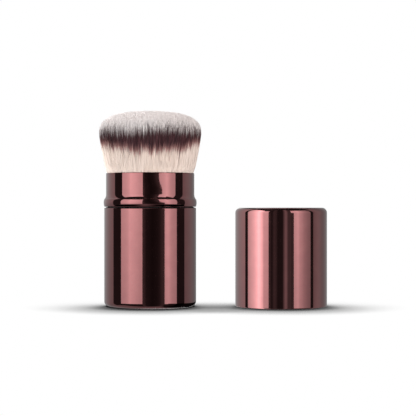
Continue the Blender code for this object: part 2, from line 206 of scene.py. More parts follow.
headLow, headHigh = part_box("bristle_head")
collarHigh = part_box("collar_shell")[1]
bristles = {
    "sectors": 24, "sideStrands": 400, "domeStrands": 700, "sideSteps": 9, "domeSteps": 3,
    "strandMm": 0.17,          # a real filament is 0.07 mm, drawn coarser so that it shows
    "rootMm": 15.75,           # radius at which the fan would leave the neck
    "pinchMm": 0.45,           # the rim of the neck holds it in by this much
    "pinchHeightMm": 1.4,
    "footMm": 12.75,           # radius where it is set in the resin
    "backingMm": 1.4, "widestMm": 14.2, "radiusMm": 18.35, "domePower": 2.8, "fanShare": 1.15,
    "sideFromShare": 0.92, "domeToShare": 0.96, "domeLengthMm": 3.5, "hiddenMm": 4.5,
    "raggedMm": 0.45, "leanDegrees": 3.0, "leanInMm": 0.22, "leanOutMm": 0.1,
    "taperFrom": 0.7, "tipShare": 0.4,        # a strand narrows from here on, to this share of its width
    "coreInsetMm": 0.5, "coreTopMm": 0.9, "coreFanSteps": 6, "coreDomeSteps": 8, "coreTurnSteps": 4,
    "gatherShare": 0.74,       # how far the head draws together in the neck
}
neckTop = collarHigh.z
backingTop = headLow.z + bristles["backingMm"] * mm
widestHeight = neckTop + bristles["widestMm"] * mm
domeHeight = headHigh.z - widestHeight
# UV map: the core has the columns up to coreShare and each strand a narrow one after it; height goes up
bandUv = {"lowMm": 36.0, "highMm": 71.0, "coreShare": 0.08, "coreFill": 0.98, "columnShare": 0.002,
          "margin": 0.01, "offsetsMm": (-4.0, 6.0)}
# how far a strand's lower dye line stands off its mean height
dyeOffset = {"frontMm": -2.2, "sideRiseMm": 3.2, "wanderMm": 4.0, "wanderScale": 6.0, "chanceMm": 0.8}


def bundleRadius(height):
    # outside of the bundle: straight up to the neck, then a fan that levels off at the widest place
    rise = min(max((height - backingTop) / (neckTop - backingTop), 0), 1)
    fan = min(max((height - neckTop) / (widestHeight - neckTop), 0), 1)
    low = bristles["footMm"] + (bristles["rootMm"] - bristles["footMm"]) * rise
    bulge = fan * (bristles["fanShare"] - (bristles["fanShare"] - 1) * fan * fan)
    above = min(max((height - neckTop) / (bristles["pinchHeightMm"] * mm), 0), 1)
    held = bristles["pinchMm"] * (1 - above) ** 2 * rise
    return (low - held + (bristles["radiusMm"] - bristles["rootMm"]) * bulge) * mm


def tipHeight(share):
    # height of the dome over this share of the bundle's radius
    power = bristles["domePower"]
    return widestHeight + domeHeight * (1 - min(share, 1) ** power) ** (1 / power)


def twoToneBristle():
    # Synthetic filament (PBT), dyed cream, dark brown and white along its length: soft, dry, faintly glossy.
    # The UV map holds the band's offset across and the height up a strand, so the dye is a strand's own.
    bands = {
        "cream": "#e7d5ca", "creamDeep": "#e3cfc3", "brown": "#9b6e69", "dark": "#563034",
        # the last value on the next line is painted shade: the core between the strands is darkened by it,
        # for the depth of the bundle
        "darkDeep": "#382024", "tip": "#f2e9e6", "tipGrey": "#e3dad7", "corePaintedShade": 0.94,
        "roughness": (0.45, 0.62), "lowerMm": 55.6, "upperMm": 62.35,
        "lowerSoftMm": 2.3, "upperSoftMm": 1.9, "lowerRaggedMm": 1.4, "upperRaggedMm": 3.6,
        "strayMm": 3.6, "strayPower": 24.0,        # a few strands are dyed further down
        "streakMm": 0.3, "lowerStreakMm": 1.8, "upperStreakMm": 4.6,
        # the upper line swings by this much: (place from left to right, share of the swing risen)
        "upperSwingMm": 1.9,
        "upperSwing": [(0.12, 0.05), (0.29, 0.02), (0.5, 0.46), (0.68, 0.68), (0.86, 0.56), (1.0, 0.35)],
    }
    material, tree = newMaterial("dyedSyntheticBristle")
    uv = addNode(tree, "ShaderNodeUVMap", {"uv_map": "OFBake"})
    split = addNode(tree, "ShaderNodeSeparateXYZ", links={"Vector": uv})
    height = addNode(tree, "ShaderNodeMapRange", links={
        "Value": split.outputs["Y"], "To Min": bandUv["lowMm"], "To Max": bandUv["highMm"]})
    least, most = bandUv["offsetsMm"]
    offset = addNode(tree, "ShaderNodeMapRange", links={
        "Value": split.outputs["X"], "From Min": bandUv["coreShare"], "To Min": least, "To Max": most})
    column = addNode(tree, "ShaderNodeMath", {"operation": "SNAP"}, {
        0: split.outputs["X"], 1: bandUv["columnShare"]})
    chance = addNode(tree, "ShaderNodeTexWhiteNoise", {"noise_dimensions": "1D"}, {"W": column})
    parts = addNode(tree, "ShaderNodeSeparateColor", links={"Color": chance.outputs["Color"]})
    # tufts that took the dye further than their neighbours
    place = addNode(tree, "ShaderNodeVectorMath", multiply, {
        0: addNode(tree, "ShaderNodeTexCoord").outputs["Object"], 1: (1.0, 1.0, 0.0)})
    around = addNode(tree, "ShaderNodeVectorMath", {"operation": "NORMALIZE"}, {0: place})
    tufts = addNode(tree, "ShaderNodeTexNoise", links={
        "Vector": around, "Scale": bristles["radiusMm"] / bands["streakMm"], "Detail": 2.0})
    streaks = addNode(tree, "ShaderNodeSeparateColor", links={"Color": tufts.outputs["Color"]})
    line = {}
    for edge, part in (("lower", "Red"), ("upper", "Green")):
        centre = addNode(tree, "ShaderNodeMath", multiplyAdd, {
            0: parts.outputs[part], 1: bands[edge + "RaggedMm"],
            2: bands[edge + "Mm"] - (bands[edge + "RaggedMm"] + bands[edge + "StreakMm"]) / 2})
        line[edge] = addNode(tree, "ShaderNodeMath", multiplyAdd, {
            0: streaks.outputs[part], 1: bands[edge + "StreakMm"], 2: centre})
    across = addNode(tree, "ShaderNodeSeparateXYZ", links={"Vector": around}).outputs["X"]
    sweep = addNode(tree, "ShaderNodeMapRange", links={"Value": across, "From Min": -1.0})
    risen = rampStops(addNode(tree, "ShaderNodeValToRGB", links={"Fac": sweep}), [
        (share, grey(level)) for share, level in bands["upperSwing"]])
    line["upper"] = addNode(tree, "ShaderNodeMath", multiplyAdd, {
        0: risen, 1: bands["upperSwingMm"], 2: line["upper"]})
    stray = addNode(tree, "ShaderNodeMath", {"operation": "POWER"}, {
        0: parts.outputs["Green"], 1: bands["strayPower"]})
    longer = addNode(tree, "ShaderNodeMath", multiplyAdd, {
        0: stray, 1: -bands["strayMm"], 2: offset})
    line["lower"] = addNode(tree, "ShaderNodeMath", {"operation": "ADD"}, {0: line["lower"], 1: longer})
    covered = {}
    for edge in ("lower", "upper"):
        above = addNode(tree, "ShaderNodeMath", {"operation": "SUBTRACT"}, {0: height, 1: line[edge]})
        soft = bands[edge + "SoftMm"]
        covered[edge] = addNode(tree, "ShaderNodeMapRange", {"interpolation_type": "SMOOTHSTEP"}, {
            "Value": above, "From Min": -soft, "From Max": soft})
    tones = {}
    for tone, deep in (("cream", "creamDeep"), ("dark", "darkDeep"), ("tip", "tipGrey")):
        tones[tone] = addNode(tree, "ShaderNodeMix", {"data_type": "RGBA"}, {
            0: parts.outputs["Blue"], 6: linear(bands[tone]), 7: linear(bands[deep])}).outputs[2]
    halfDyed = addNode(tree, "ShaderNodeMapRange", links={"Value": covered["lower"], "From Max": 0.5})
    fullyDyed = addNode(tree, "ShaderNodeMapRange", links={"Value": covered["lower"], "From Min": 0.5})
    brown = addNode(tree, "ShaderNodeMix", {"data_type": "RGBA"}, {
        0: halfDyed, 6: tones["cream"], 7: linear(bands["brown"])}).outputs[2]
    lower = addNode(tree, "ShaderNodeMix", {"data_type": "RGBA"}, {
        0: fullyDyed, 6: brown, 7: tones["dark"]}).outputs[2]
    dyed = addNode(tree, "ShaderNodeMix", {"data_type": "RGBA"}, {
        0: covered["upper"], 6: lower, 7: tones["tip"]}).outputs[2]
    # painted shade: the core under the strands is dimmed, standing in for the shade deep among the strands;
    # the strands keep their dye
    isStrand = addNode(tree, "ShaderNodeMath", {"operation": "GREATER_THAN"}, {
        0: split.outputs["X"], 1: bandUv["coreShare"]})
    dyedWithCoreShade = addNode(tree, "ShaderNodeMix", {"data_type": "RGBA", "blend_type": "MULTIPLY"}, {
        0: 1.0, 6: dyed, 7: rampStops(addNode(tree, "ShaderNodeValToRGB", links={"Fac": isStrand}), [
            (0.0, grey(bands["corePaintedShade"])), (1.0, grey(1.0))]).outputs[0]}).outputs[2]
    low, high = bands["roughness"]
    sheen = addNode(tree, "ShaderNodeMapRange", links={
        "Value": parts.outputs["Red"], "To Min": low, "To Max": high})
    shader = addNode(tree, "ShaderNodeBsdfPrincipled", links={
        "Base Color": dyedWithCoreShade, "Roughness": sheen, "IOR": 1.5, "Specular IOR Level": 0.3})
    return surfaced(material, shader)


def strandTree():
    # Geometry Nodes: one family of strands in a sector, each a tapering three-sided filament on its own path
    tree = bpy.data.node_groups.new("bristleStrands", "GeometryNodeTree")
    face = tree.interface
    face.new_socket("Geometry", in_out="OUTPUT", socket_type="NodeSocketGeometry")
    face.new_socket("Geometry", in_out="INPUT", socket_type="NodeSocketGeometry")
    for name in ("Strands", "Steps", "Seed"):
        face.new_socket(name, in_out="INPUT", socket_type="NodeSocketInt")
    for name in ("Inner Share", "Outer Share", "Start Angle", "Sector Angle", "Strand Length",
                 "Root Floor", "Strand Radius"):
        face.new_socket(name, in_out="INPUT", socket_type="NodeSocketFloat")
    face.new_socket("Material", in_out="INPUT", socket_type="NodeSocketMaterial")
    given = addNode(tree, "NodeGroupInput").outputs

    # places over the sector: two golden-ratio rows spread them evenly, by area, and start anew in each sector
    index = addNode(tree, "GeometryNodeInputIndex")
    rows = {}
    golden = {"outwards": (0.7548776662, 0.2360679775), "around": (0.5698402910, 0.4142135624)}
    for name, (ratio, shift) in golden.items():
        first = addNode(tree, "ShaderNodeMath", multiply, {0: given["Seed"], 1: shift})
        times = addNode(tree, "ShaderNodeMath", multiplyAdd, {0: index, 1: ratio, 2: first})
        rows[name] = addNode(tree, "ShaderNodeMath", {"operation": "FRACT"}, {0: times})
    edges = {}
    for name in ("Inner Share", "Outer Share"):
        edges[name] = addNode(tree, "ShaderNodeMath", {"operation": "POWER"}, {0: given[name], 1: 2.0})
    area = addNode(tree, "ShaderNodeMapRange", links={
        "Value": rows["outwards"], "To Min": edges["Inner Share"], "To Max": edges["Outer Share"]})
    share = addNode(tree, "ShaderNodeMath", {"operation": "SQRT"}, {0: area})
    angle = addNode(tree, "ShaderNodeMath", multiplyAdd, {
        0: rows["around"], 1: given["Sector Angle"], 2: given["Start Angle"]})

    # chances of each strand: how much shorter it is, how it leans, and how its dye line is off
    chances = {}
    lean, off = math.radians(bristles["leanDegrees"]), dyeOffset["chanceMm"]
    spans = {"shorter": (0.0, bristles["raggedMm"] * mm), "leanAround": (-lean, lean),
             "leanOut": (-bristles["leanInMm"] * mm, bristles["leanOutMm"] * mm), "dye": (-off, off)}
    for order, (name, (least, most)) in enumerate(spans.items()):
        seed = addNode(tree, "ShaderNodeMath", {"operation": "ADD"}, {0: given["Seed"], 1: order * 101.0})
        chances[name] = addNode(tree, "FunctionNodeRandomValue", {"data_type": "FLOAT"}, {
            2: least, 3: most, "Seed": seed}).outputs[1]
    power = bristles["domePower"]
    shareRaised = addNode(tree, "ShaderNodeMath", {"operation": "POWER"}, {0: share, 1: power})
    left = addNode(tree, "ShaderNodeMath", {"operation": "SUBTRACT", "use_clamp": True}, {
        0: 1.0, 1: shareRaised})
    dome = addNode(tree, "ShaderNodeMath", {"operation": "POWER"}, {0: left, 1: 1 / power})
    domeTop = addNode(tree, "ShaderNodeMath", multiplyAdd, {
        0: dome, 1: domeHeight, 2: widestHeight})
    tip = addNode(tree, "ShaderNodeMath", {"operation": "SUBTRACT"}, {0: domeTop, 1: chances["shorter"]})
    below = addNode(tree, "ShaderNodeMath", {"operation": "SUBTRACT"}, {0: tip, 1: given["Strand Length"]})
    root = addNode(tree, "ShaderNodeMath", {"operation": "MAXIMUM"}, {0: below, 1: given["Root Floor"]})

    # the dye line rises towards the sides of the brush and wanders a little round it
    cosine = addNode(tree, "ShaderNodeMath", {"operation": "COSINE"}, {0: angle})
    sine = addNode(tree, "ShaderNodeMath", {"operation": "SINE"}, {0: angle})
    sideways = addNode(tree, "ShaderNodeMath", multiply, {0: cosine, 1: cosine})
    heading = addNode(tree, "ShaderNodeCombineXYZ", links={"X": cosine, "Y": sine})
    wander = addNode(tree, "ShaderNodeTexNoise", links={
        "Vector": heading, "Scale": dyeOffset["wanderScale"], "Detail": 3.0})
    rise = addNode(tree, "ShaderNodeMath", multiplyAdd, {
        0: sideways, 1: dyeOffset["sideRiseMm"], 2: dyeOffset["frontMm"]})
    wavy = addNode(tree, "ShaderNodeMath", multiplyAdd, {
        0: wander, 1: dyeOffset["wanderMm"], 2: rise})
    dyeMm = addNode(tree, "ShaderNodeMath", {"operation": "ADD"}, {0: wavy, 1: chances["dye"]})
    least, most = bandUv["offsetsMm"]
    column = addNode(tree, "ShaderNodeMapRange", links={
        "Value": dyeMm, "From Min": least, "From Max": most,
        "To Min": bandUv["coreShare"] + bandUv["margin"], "To Max": 1 - bandUv["margin"]})

    # a straight line on each place, bent to the strand's own path
    points = addNode(tree, "GeometryNodePoints", links={"Count": given["Strands"]})
    kept = {"strandShare": share, "strandAngle": angle, "strandTip": tip, "strandRoot": root,
            "strandAround": chances["leanAround"], "strandOut": chances["leanOut"], "strandColumn": column}
    for name, value in kept.items():
        points = addNode(tree, "GeometryNodeStoreNamedAttribute", {"data_type": "FLOAT", "domain": "POINT"}, {
            "Geometry": points, "Name": name, "Value": value})
    line = addNode(tree, "GeometryNodeCurvePrimitiveLine", links={"End": (0.0, 0.0, 1.0)})
    stepped = addNode(tree, "GeometryNodeResampleCurve", links={"Curve": line, "Count": given["Steps"]})
    placed = addNode(tree, "GeometryNodeInstanceOnPoints", links={"Points": points, "Instance": stepped})
    lines = addNode(tree, "GeometryNodeRealizeInstances", links={"Geometry": placed})
    own = {name: addNode(tree, "GeometryNodeInputNamedAttribute", {"data_type": "FLOAT"}, {"Name": name})
           for name in kept}
    along = addNode(tree, "GeometryNodeSplineParameter")
    height = addNode(tree, "ShaderNodeMapRange", links={
        "Value": along, "To Min": own["strandRoot"], "To Max": own["strandTip"]})
    rising = addNode(tree, "ShaderNodeMapRange", links={
        "Value": height, "From Min": backingTop, "From Max": neckTop})
    loose = addNode(tree, "ShaderNodeMapRange", links={
        "Value": height, "From Min": neckTop, "From Max": neckTop + bristles["pinchHeightMm"] * mm,
        "To Min": 1.0, "To Max": 0.0})
    pinch = addNode(tree, "ShaderNodeMath", {"operation": "POWER"}, {0: loose, 1: 2.0})
    reach = addNode(tree, "ShaderNodeMath", multiplyAdd, {
        0: pinch, 1: -bristles["pinchMm"] * mm, 2: (bristles["rootMm"] - bristles["footMm"]) * mm})
    straight = addNode(tree, "ShaderNodeMath", multiplyAdd, {
        0: rising, 1: reach, 2: bristles["footMm"] * mm})
    fan = addNode(tree, "ShaderNodeMapRange", links={
        "Value": height, "From Min": neckTop, "From Max": widestHeight})
    squared = addNode(tree, "ShaderNodeMath", multiply, {0: fan, 1: fan})
    levelling = addNode(tree, "ShaderNodeMath", multiplyAdd, {
        0: squared, 1: 1 - bristles["fanShare"], 2: bristles["fanShare"]})
    bulge = addNode(tree, "ShaderNodeMath", multiply, {0: fan, 1: levelling})
    outside = addNode(tree, "ShaderNodeMath", multiplyAdd, {
        0: bulge, 1: (bristles["radiusMm"] - bristles["rootMm"]) * mm, 2: straight})
    even = addNode(tree, "ShaderNodeMath", multiply, {0: outside, 1: own["strandShare"]})
    leaning = addNode(tree, "ShaderNodeMath", {"operation": "POWER"}, {0: along, 1: 2.0})
    radius = addNode(tree, "ShaderNodeMath", multiplyAdd, {
        0: leaning, 1: own["strandOut"], 2: even})
    turn = addNode(tree, "ShaderNodeMath", multiplyAdd, {
        0: leaning, 1: own["strandAround"], 2: own["strandAngle"]})
    flat = {}
    for axis, operation in (("X", "COSINE"), ("Y", "SINE")):
        part = addNode(tree, "ShaderNodeMath", {"operation": operation}, {0: turn})
        flat[axis] = addNode(tree, "ShaderNodeMath", multiply, {0: part, 1: radius})
    position = addNode(tree, "ShaderNodeCombineXYZ", links={"X": flat["X"], "Y": flat["Y"], "Z": height})
    paths = addNode(tree, "GeometryNodeSetPosition", links={"Geometry": lines, "Position": position})

    # thickness: full along the strand, then down to a fine tip
    section = addNode(tree, "GeometryNodeCurvePrimitiveCircle", links={
        "Resolution": 3, "Radius": given["Strand Radius"]}).outputs["Curve"]
    corner = addNode(tree, "GeometryNodeSplineParameter")
    section = addNode(tree, "GeometryNodeStoreNamedAttribute", {"data_type": "FLOAT", "domain": "POINT"}, {
        "Geometry": section, "Name": "strandSide", "Value": corner})
    taper = addNode(tree, "ShaderNodeMapRange", links={
        "Value": along, "From Min": bristles["taperFrom"], "To Min": 1.0, "To Max": bristles["tipShare"]})
    strands = addNode(tree, "GeometryNodeCurveToMesh", links={
        "Curve": paths, "Profile Curve": section, "Scale": taper, "Fill Caps": True})

    # UV: which column of the dye, and how high
    side = addNode(tree, "GeometryNodeInputNamedAttribute", {"data_type": "FLOAT"}, {"Name": "strandSide"})
    across = addNode(tree, "ShaderNodeMath", multiplyAdd, {
        0: side, 1: bandUv["columnShare"], 2: own["strandColumn"]})
    where = addNode(tree, "ShaderNodeSeparateXYZ", links={
        "Vector": addNode(tree, "GeometryNodeInputPosition")})
    up = addNode(tree, "ShaderNodeMapRange", links={
        "Value": where.outputs["Z"], "From Min": bandUv["lowMm"] * mm, "From Max": bandUv["highMm"] * mm})
    uv = addNode(tree, "ShaderNodeCombineXYZ", links={"X": across, "Y": up})
    mapped = addNode(tree, "GeometryNodeStoreNamedAttribute", {"data_type": "FLOAT2", "domain": "CORNER"}, {
        "Geometry": strands, "Name": "OFBake", "Value": uv})
    for name in (*kept, "strandSide"):
        mapped = addNode(tree, "GeometryNodeRemoveAttribute", links={"Geometry": mapped, "Name": name})
    smooth = addNode(tree, "GeometryNodeSetShadeSmooth", links={"Geometry": mapped})
    joined = addNode(tree, "GeometryNodeJoinGeometry", links={"Geometry": given["Geometry"]})
    tree.links.new(smooth.outputs[0], joined.inputs[0])
    real = addNode(tree, "GeometryNodeRealizeInstances", links={"Geometry": joined})
    painted = addNode(tree, "GeometryNodeSetMaterial", links={
        "Geometry": real, "Material": given["Material"]})
    addNode(tree, "NodeGroupOutput", links={"Geometry": painted})
    return tree


def coreMesh(name, start, width):
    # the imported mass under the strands: a closed wedge from the resin to just under the dome
    inset, topInset = bristles["coreInsetMm"] * mm, bristles["coreTopMm"] * mm
    fanSteps, domeSteps = bristles["coreFanSteps"], bristles["coreDomeSteps"]
    heights = [headLow.z, backingTop]
    heights += [neckTop + (widestHeight - neckTop) * step / fanSteps for step in range(fanSteps + 1)]
    outline = [(bundleRadius(height) - (inset if height > backingTop else 0), height) for height in heights]
    outline[-1] = (outline[-1][0], widestHeight - topInset / 2)
    widest = outline[-1][0]
    for step in range(1, domeSteps):
        share = math.cos(math.radians(90 * step / domeSteps)) ** (2 / bristles["domePower"])
        outline.append((widest * share, tipHeight(share) - topInset))
    outline += [(0.0, tipHeight(0) - topInset), (0.0, headLow.z)]
    shape = bmesh.new()
    points = [shape.verts.new((radius * math.cos(start), radius * math.sin(start), height))
              for radius, height in outline]
    lastRing = bmesh.ops.spin(
        shape, geom=points + [shape.edges.new(pair) for pair in zip(points, points[1:] + points[:1])],
        cent=(0, 0, 0), axis=(0, 0, 1), angle=width, steps=bristles["coreTurnSteps"])["geom_last"]
    shape.faces.new(points)
    shape.faces.new([item for item in lastRing if isinstance(item, bmesh.types.BMVert)])
    bmesh.ops.remove_doubles(shape, verts=shape.verts, dist=weld)
    bmesh.ops.recalc_face_normals(shape, faces=shape.faces)
    layer = shape.loops.layers.uv.new("OFBake")
    span = (bandUv["highMm"] - bandUv["lowMm"]) * mm
    for face in shape.faces:
        for loop in face.loops:
            place = loop.vert.co
            turned = (math.atan2(place.y, place.x) - start) % math.tau / width
            around = min(turned, 1) if place.xy.length > mm else 0.5
            loop[layer].uv = (bandUv["coreShare"] * bandUv["coreFill"] * around,
                              (place.z - bandUv["lowMm"] * mm) / span)
    mesh = bpy.data.meshes.new(name)
    shape.to_mesh(mesh)
    shape.free()
    return mesh


def bristleHead(material):
    # one piece a sector, so that each can draw in towards the axis as the head goes down into the neck
    tree = strandTree()
    sockets = {item.name: item.identifier for item in tree.interface.items_tree if item.in_out == "INPUT"}
    width = math.tau / bristles["sectors"]
    families = {
        "sideStrands": {"Strands": bristles["sideStrands"], "Steps": bristles["sideSteps"],
                        "Inner Share": bristles["sideFromShare"], "Outer Share": 1.0,
                        "Strand Length": headHigh.z, "Root Floor": neckTop - bristles["hiddenMm"] * mm},
        "domeStrands": {"Strands": bristles["domeStrands"], "Steps": bristles["domeSteps"],
                        "Inner Share": 0.0, "Outer Share": bristles["domeToShare"],
                        "Strand Length": bristles["domeLengthMm"] * mm, "Root Floor": neckTop},
    }
    triangles = 0
    for sector in range(bristles["sectors"]):
        start = sector * width
        piece = addObject("growing", coreMesh("core", start, width))
        for order, (family, values) in enumerate(families.items()):
            modifier = piece.modifiers.new(family, "NODES")
            modifier.node_group = tree
            common = {"Start Angle": start, "Sector Angle": width, "Seed": sector * 7 + order,
                      "Strand Radius": bristles["strandMm"] * mm / 2, "Material": material}
            for name, value in {**values, **common}.items():
                modifier[sockets[name]] = value
        bpy.context.view_layer.update()
        grown = piece.evaluated_get(bpy.context.evaluated_depsgraph_get())
        mesh = bpy.data.meshes.new_from_object(grown)
        mesh.name = f"bristle_sector_{sector + 1:02d}"
        bpy.data.objects.remove(piece)
        piece = addObject(mesh.name, mesh)
        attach(piece, "brush")
        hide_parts("bristle_head")
        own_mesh(piece)
        triangles += sum(len(face.vertices) - 2 for face in piece.data.polygons)
    print("bristles:", bristles["sectors"], "sectors,", triangles, "triangles")


# Turned shells: outlines are (radius, height) points, from the foot round to the inside

def arcPoints(centre, radius, start, end, steps, tall=None):
    # an arc from one angle to another, taller than it is deep where it says so
    angles = [math.radians(start + (end - start) * step / steps) for step in range(steps + 1)]
    return [(centre[0] + radius * math.cos(a), centre[1] + (tall or radius) * math.sin(a)) for a in angles]


shells = {
    "segments": 192, "sharpDegrees": 32, "wallMm": 0.4, "cornerMm": 1.8, "rimMm": 0.18, "rimTallMm": 0.28,
    "flatMm": 0.12, "cornerSteps": 14, "rimSteps": 7,
    "dishMm": 0.12, "dishRadiusMm": 11.0,      # the end of a drawn cup is pressed in a little
}


def turnedShell(node, body, outline, middle, material):
    # one lacquered shell, spun from its outline and standing at its middle
    name = node + "_fine"
    shape = bmesh.new()
    points = [shape.verts.new((radius, 0, height)) for radius, height in outline]
    rim = [shape.edges.new(pair) for pair in zip(points, points[1:])]
    if outline[0][0] > 0:
        rim.append(shape.edges.new((points[-1], points[0])))
    bmesh.ops.spin(shape, geom=points + rim, cent=(0, 0, 0), axis=(0, 0, 1), angle=math.tau,
                   steps=shells["segments"])
    bmesh.ops.remove_doubles(shape, verts=shape.verts, dist=weld)
    bmesh.ops.recalc_face_normals(shape, faces=shape.faces)
    shape.transform(Matrix.Translation(middle))
    mesh = bpy.data.meshes.new(name)
    shape.to_mesh(mesh)
    shape.free()
    mesh.shade_smooth()
    mesh.set_sharp_from_angle(angle=math.radians(shells["sharpDegrees"]))
    mesh.materials.append(material)
    piece = addObject(name, mesh)
    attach(piece, body)
    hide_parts(node)
    print(name + ": turned")


def cupOutline(radius, height):
    # drawn cup with its closed end down: a rounded corner, a rolled rim and an even wall
    wall, corner, rim, rimTall = (shells[name] * mm for name in ("wallMm", "cornerMm", "rimMm", "rimTallMm"))
    flat, dish, dishRadius = (shells[name] * mm for name in ("flatMm", "dishMm", "dishRadiusMm"))
    middle = radius - wall / 2
    outer = arcPoints((radius - corner, corner), corner, -90, 0, shells["cornerSteps"])
    lip = arcPoints((radius - rim, height - rimTall), rim, 0, 90, shells["rimSteps"], rimTall)
    inner = arcPoints((radius - corner, corner), corner - wall, 0, -90, shells["cornerSteps"])
    return [(0, dish), (dishRadius - dish, dish), (dishRadius, 0), (radius - corner - flat, 0), *outer,
            (radius, corner + flat), (radius, height - rimTall - flat), *lip, (middle, height),
            (radius - wall, height), (radius - wall, corner + flat), *inner, (dishRadius, wall),
            (dishRadius - dish, dish + wall), (0, dish + wall)]


def barrelShell(material):
    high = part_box("barrel_shell")[1]
    turnedShell("barrel_shell", "base", cupOutline(high.x, high.z), Vector((0, 0, 0)), material)


def capShell(material):
    # the same cup, turned over on its mouth
    low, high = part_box("cap_shell")
    radius, height = (high.x - low.x) / 2, high.z
    outline = [(r, height - z) for r, z in cupOutline(radius, height)]
    turnedShell("cap_shell", "cap", outline, Vector(((low.x + high.x) / 2, 0, 0)), material)


def collarShell(material):
    # neck and bead rolled from one tube; the inside follows the outside a wall away
    collar = {"wallMm": 0.4, "neckMm": 15.85, "beadFootMm": 16.3, "beadBulgeMm": 0.4, "beadMm": 2.85,
              "coveMm": 1.5, "rimMm": 0.18, "flatMm": 0.12, "beadSteps": 28, "coveSteps": 14, "rimSteps": 5}
    wall, neck, foot, bulge, bead, cove, rim, flat = (collar[name] * mm for name in (
        "wallMm", "neckMm", "beadFootMm", "beadBulgeMm", "beadMm", "coveMm", "rimMm", "flatMm"))
    low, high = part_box("collar_shell")
    line = []
    for step in range(collar["beadSteps"] + 1):
        turn = math.radians(180 * step / collar["beadSteps"])
        line.append((foot + bulge * math.sin(turn), low.z + bead / 2 * (1 - math.cos(turn))))
    beadTop = low.z + bead
    for step in range(1, collar["coveSteps"] + 1):
        share = step / collar["coveSteps"]
        line.append((neck + (foot - neck) * (1 - share) ** 2, beadTop + cove * share))
    inside = [(radius - wall, height) for radius, height in line]
    outline = [*line, (neck, beadTop + cove + flat), (neck, high.z - rim - flat),
               *arcPoints((neck - rim, high.z - rim), rim, 0, 90, collar["rimSteps"]),
               (neck - wall, high.z), *reversed(inside)]
    turnedShell("collar_shell", "collar", outline, Vector((0, 0, 0)), material)


def dressNodes(finishes):
    # the inner pieces keep their CAD shape and get their real finish
    for name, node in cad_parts.items():
        if name in finishes:
            node.data.materials.clear()
            node.data.materials.append(finishes[name])
    print("inner pieces:", len(finishes), "finished")


# plastics: colour, mottled colour, roughness, width and depth of the grain, index of refraction
# metals: colour, worn colour, roughness, width and depth of the lines
lacquer = plumLacquer()
blackAbs = mouldedPlastic("mouldedBlackAbs", "#151313", "#1b1919", 0.42, 0.35, 0.004, 1.53)
grainedAbs = mouldedPlastic("grainedBlackAbs", "#0f0e0e", "#131212", 0.62, 0.2, 0.008, 1.53)
acetal = mouldedPlastic("mouldedNaturalAcetal", "#d3cab6", "#ddd6c6", 0.38, 0.3, 0.003, 1.48)
silicone = mouldedPlastic("mouldedBlackSilicone", "#222020", "#2b2929", 0.62, 0.25, 0.006, 1.41)
steel = turnedMetal("turnedBrightSteel", "#b9b8b6", "#c9c8c6", 0.28, 0.12, 0.002)
aluminium = turnedMetal("drawnBareAluminium", "#d6d5d3", "#e3e2e0", 0.3, 0.3, 0.0015)
resin = castResin()
bristle = twoToneBristle()

barrelShell(lacquer)
collarShell(lacquer)
capShell(lacquer)
bristleHead(bristle)
dressNodes({
    "barrel_liner": blackAbs, "barrel_weight": steel, "cam_sleeve": acetal, "thrust_washer": acetal,
    "neck_liner": grainedAbs, "guide_sleeve": blackAbs, "drag_ring": silicone, "retaining_clip": steel,
    "brush_carrier": acetal, "guide_pin_left": steel, "guide_pin_right": steel, "ferrule": aluminium,
    "resin_plug": resin, "cap_liner": blackAbs, "cap_weight": steel,
})

# Studio: everything here is stage

studio = {
    "wallLowMm": -265, "boxLowMm": -50, "boxHighMm": 320, "ceilingMm": 400, "flatMm": 460,
    "dark": 0.035, "tableGlow": 0.32, "ambient": 0.66,
    # shadow on the floor: how far it looks, how it leans to the back, and what openness gives what level
    "floorEdge": 6, "contactSamples": 16, "contacts": [
        (30, 0.8, [(0.3, 0.1), (0.5, 0.34), (0.68, 0.42), (0.79, 0.6), (0.86, 0.77), (0.93, 0.93),
                   (0.99, 1)]),
        (14, 2.0, [(0.3, 0.03), (0.5, 0.12), (0.62, 0.3), (0.72, 0.65), (0.82, 1)]),
    ],
    # lamps for the bristles, as the cards give the metal its highlights: place, watts and colour
    "lampSize": 0.6, "lampTarget": (0, 0, 0.05), "lamps": {
        "keyLamp": ((-0.65, -0.35, 0.15), 6.8, (0.86, 0.95, 1.0)),
        "fillLamp": ((0.5, -0.45, 0.3), 2.7, (1, 1, 1)),
        "topLamp": ((-0.1, 0.05, 0.7), 2.1, (1, 1, 1)),
    },
}


def compass(azimuth, distance):
    # plan position in mm at an azimuth from the brush, 0 towards the camera and 90 to the right
    turn = math.radians(azimuth)
    return distance * math.sin(turn), -distance * math.cos(turn)


def reflectorMaterial():
    # a lit or black card, seen in gloss alone; each point of it carries its own brightness
    material, tree = newMaterial("reflectorCard")
    glow = addNode(tree, "ShaderNodeAttribute", {"attribute_name": "glow"})
    shader = addNode(tree, "ShaderNodeEmission", links={"Color": grey(1), "Strength": glow.outputs["Fac"]})
    return surfaced(material, shader)


def gridCard(name, rows, glows, material):
    # a card through rows of points in mm, each with its own brightness
    across = len(rows[0])
    places = [tuple(value * mm for value in point) for row in rows for point in row]
    faces = [(row * across + i, row * across + i + 1, (row + 1) * across + i + 1, (row + 1) * across + i)
             for row in range(len(rows) - 1) for i in range(across - 1)]
    mesh = bpy.data.meshes.new(name)
    mesh.from_pydata(places, [], faces)
    shine = mesh.attributes.new("glow", "FLOAT", "POINT")
    shine.data.foreach_set("value", [glow for row in glows for glow in row])
    mesh.materials.append(material)
    card = addObject(name, mesh)
    for kind in ("camera", "diffuse", "transmission", "shadow", "volume_scatter"):
        setattr(card, "visible_" + kind, False)


def reflector(name, stations, levels, material):
    # An upright card through plan points in mm, (x, y, glow), with rows at heights in mm, (height, factor)
    # or (height, factor, reach). A row of less reach than 1 ends sooner, towards the first point.
    levels = [(*level, 1)[:3] for level in levels]
    firstX, firstY = stations[0][:2]
    rows = [[(firstX + (x - firstX) * reach, firstY + (y - firstY) * reach, height)
             for x, y, glow in stations] for height, factor, reach in levels]
    glows = [[glow * factor for x, y, glow in stations] for height, factor, reach in levels]
    gridCard(name, rows, glows, material)


